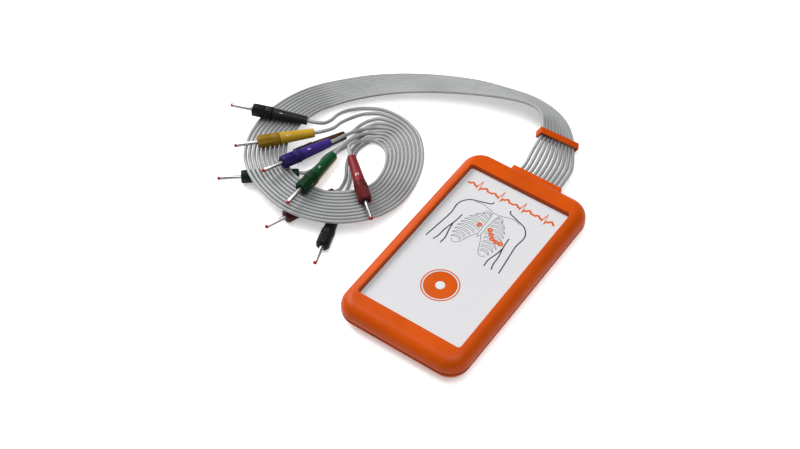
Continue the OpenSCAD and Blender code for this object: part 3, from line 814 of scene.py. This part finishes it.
def makeClipHalf(name, node, way, c):
    # a shallow channel, seen along the band, drawn out to the clip's width
    a, b = c["length"] / 2, c["slotLength"] / 2
    low, high, slot = c["gap"], c["half"], c["slotHalf"]
    outline = [(-a, low), (-a, high), (a, high), (a, low), (b, low), (b, slot), (-b, slot), (-b, low)]
    bm = bmesh.new()
    ends = [[bm.verts.new((x, y, way * z)) for x, z in outline] for y in (-c["run"] / 2, c["run"] / 2)]
    count = len(outline)
    for i in range(count):
        j = (i + 1) % count
        bm.faces.new((ends[0][i], ends[0][j], ends[1][j], ends[1][i]))
    for end in ends:
        bm.faces.new(end)
    bmesh.ops.recalc_face_normals(bm, faces=bm.faces)
    bmesh.ops.bevel(bm, geom=bm.edges[:], offset=c["round"], segments=c["roundSteps"], profile=0.5,
                    affect="EDGES", clamp_overlap=True)
    bmesh.ops.transform(bm, matrix=clipMatrix(c), verts=bm.verts)
    piece = finishMesh(name, bm, [finishes["moulding_orange"]])
    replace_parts(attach(piece, "monitor"), node)
    return piece


glandPiece = makeGland(gland)
clipPieces = [makeClipHalf("clipUpper", "clip_upper", 1, clip),
              makeClipHalf("clipLower", "clip_lower", -1, clip)]
print("cable entry and clip made")

# ---- plugs ----

plugBody = {
    "length": 28 * mm,
    "sides": 48,
    "profile": [  # millimetres along from the lead, radius
        (0, 1.2), (0, 1.85), (0.12, 2.1), (0.4, 2.2), (1.5, 2.24), (5, 2.42), (9, 2.6), (13, 2.8),
        (16.6, 2.98), (16.9, 2.95), (17.05, 2.8), (17.55, 2.8), (17.7, 3.05), (17.95, 3.3), (18.3, 3.38),
        (20.9, 3.4), (21.1, 3.3), (21.35, 3.3), (21.55, 3.4), (27.1, 3.4), (27.5, 3.32), (27.8, 3.1),
        (27.95, 2.8), (28, 1.9), (27.7, 1.7), (27.3, 1.05),
    ],
    "frontFrom": 9,  # the ring at which the darker front begins
    "flats": 8,
    "flatDepth": 0.075,
    "flatsFrom": 18 * mm,
    "flatsFull": 19 * mm,
}
pin = {
    "radius": 1 * mm,
    "length": 10.5 * mm,
    "root": 0.9 * mm,  # how far it starts inside the body
    "core": (0.7 * mm, 0.3 * mm),  # radii at which its two ends close
    "neck": 0.93,
    "sides": 28,
    "ballSteps": 6,
    "ballRoot": 0.35 * mm,
}
mark = {
    "size": 2.3 * mm,
    "along": 13.2 * mm,  # its middle, from the lead's end of the body
    "facing": Vector((0.25, -0.35, 1)).normalized(),
    "girth": 2.25 * mm,  # the grip's radius at its thin end, and how it grows
    "slope": 0.047,
}


def barrelShape(angle, along):
    # the front barrel has soft flats for the fingers
    start, full = plugBody["flatsFrom"], plugBody["flatsFull"]
    share = min(1, max(0, (along - start) / (full - start)))
    half = math.pi / plugBody["flats"]
    off = (angle + half) % (2 * half) - half
    return 1 - share * plugBody["flatDepth"] * (1 - (abs(off) / half) ** 2)


def makePlug(i):
    plug = plugs[i]
    axis = plugAxis(plug)
    place = uprightMatrix(Vector(plug[0]), axis, Vector((0, 0, 1)))
    profile = [(along * mm, radius * mm) for along, radius in plugBody["profile"]]
    slots = [0 if k < plugBody["frontFrom"] else 1 for k in range(len(profile) - 1)]
    bm = bmesh.new()
    bridgeRings(bm, turned(profile, plugBody["sides"], place, barrelShape), slots=slots)
    colour = plug[3]
    body = finishMesh(f"plugBody{i + 1}", bm, [finishes[colour], finishes[colour + "Front"]])
    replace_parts(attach(body, "monitor"), f"plug_{i + 1}")
    tip = place @ Matrix.Translation((0, 0, plugBody["length"]))
    radius, length, neck = pin["radius"], pin["length"], pin["radius"] * pin["neck"]
    rootCore, endCore = pin["core"]
    shaft = [(-pin["root"], rootCore), (-pin["root"], radius), (length * 0.96, radius),
             (length * 0.97, neck), (length, neck), (length, endCore)]
    bm = bmesh.new()
    bridgeRings(bm, turned(shaft, pin["sides"], tip))
    shaftPiece = finishMesh(f"pinShaft{i + 1}", bm, [finishes["pin_steel"]])
    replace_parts(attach(shaftPiece, "monitor"), "plug_pins")
    ball = [(length - pin["ballRoot"], radius / 2), (length - pin["ballRoot"] + 0.05 * mm, radius * 0.98)]
    for k in range(pin["ballSteps"] + 1):
        a = math.pi / 2 * k / pin["ballSteps"]
        ball.append((length + radius * math.sin(a), max(point, radius * math.cos(a))))
    bm = bmesh.new()
    bridgeRings(bm, turned(ball, pin["sides"], tip))
    ballPiece = finishMesh(f"pinEnd{i + 1}", bm, [finishes["pin_end_red"]])
    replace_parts(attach(ballPiece, "monitor"), "pin_ends")
    return [body, shaftPiece, ballPiece, makeMark(i, plug, axis)]


def makeMark(i, plug, axis):
    # the lead's number, printed round the grip
    data = bpy.data.curves.new("mark", "FONT")
    data.body = str(i + 1)
    data.size = mark["size"]
    data.align_x = data.align_y = "CENTER"
    data.resolution_u = 3
    text = bpy.data.objects.new("mark", data)
    mesh = bpy.data.meshes.new_from_object(text)
    place = uprightMatrix(Vector(plug[0]), axis, mark["facing"])
    for vert in mesh.vertices:
        along = mark["along"] - vert.co.y
        radius = mark["girth"] + mark["slope"] * along
        a = vert.co.x / radius
        vert.co = place @ Vector((radius * math.cos(a), radius * math.sin(a), along))
    bm = bmesh.new()
    bm.from_mesh(mesh)
    bpy.data.objects.remove(text)
    bpy.data.meshes.remove(mesh)
    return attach(finishMesh(f"plugMark{i + 1}", bm, [inks["white"]]), "monitor")


plugPieces = [makePlug(i) for i in range(leads["count"])]
print("plugs made")

for i, curve in enumerate(leadCurves):
    curve.data.materials.append(finishes["lead_grey"])
    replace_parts(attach(curve, "monitor"), f"lead_{i + 1}")
    onIt = plugPieces[i] + ([glandPiece, *clipPieces] if i == 0 else [])

# ---- floor and light ----

studio = {
    "floor": 3.0,
    "floorLevel": -0.0001,
    "floorShade": (0.72, 0.72, 0.72),
    "floorGlow": 0.42,
    "world": 0.1,
    "key": ((-0.88, 0.10, 0.82), 0.8, 16.0),  # place, size, power
    "top": ((0.22, 0.00, 1.20), 1.1, 15.0),
    "side": ((-1.00, 0.50, 0.28), 0.8, 4.0),
    "fill": ((0.70, -0.65, 0.80), 1.1, 0.1),
    "aim": Vector((-0.04, 0.03, 0)),
}


def makeFloor(s):
    half = s["floor"]
    corners = [(-half, -half), (half, -half), (half, half), (-half, half)]
    bm = bmesh.new()
    bm.faces.new([bm.verts.new((*corner, s["floorLevel"])) for corner in corners])
    surface = Surface("floorPaper", Roughness=0.95, Specular_IOR_Level=0.1, Emission_Color=(1, 1, 1, 1),
                      Emission_Strength=s["floorGlow"])
    darker, paler, driftSize = 0.99, 1.01, 0.05
    drift = surface.noise(driftSize, 2)
    surface.colour(surface.blend(tint(s["floorShade"], darker), tint(s["floorShade"], paler), drift))
    finishMesh("floor", bm, [surface.material])


def makeLight(name, place, size, power):
    data = bpy.data.lights.new(name, "AREA")
    data.shape = "DISK"
    data.size = size
    data.energy = power
    lamp = linkObject(name, data)
    lamp.location = place
    lamp.rotation_euler = (studio["aim"] - Vector(place)).to_track_quat("-Z", "Y").to_euler()


makeFloor(studio)
for name in ("key", "top", "side", "fill"):
    makeLight(name, *studio[name])
world = bpy.data.worlds.new("studio")
world.use_nodes = True
world.node_tree.nodes["Background"].inputs["Color"].default_value = (1, 1, 1, 1)
world.node_tree.nodes["Background"].inputs["Strength"].default_value = studio["world"]
bpy.context.scene.world = world
bpy.context.scene.view_settings.view_transform = "Standard"
print("studio lit")
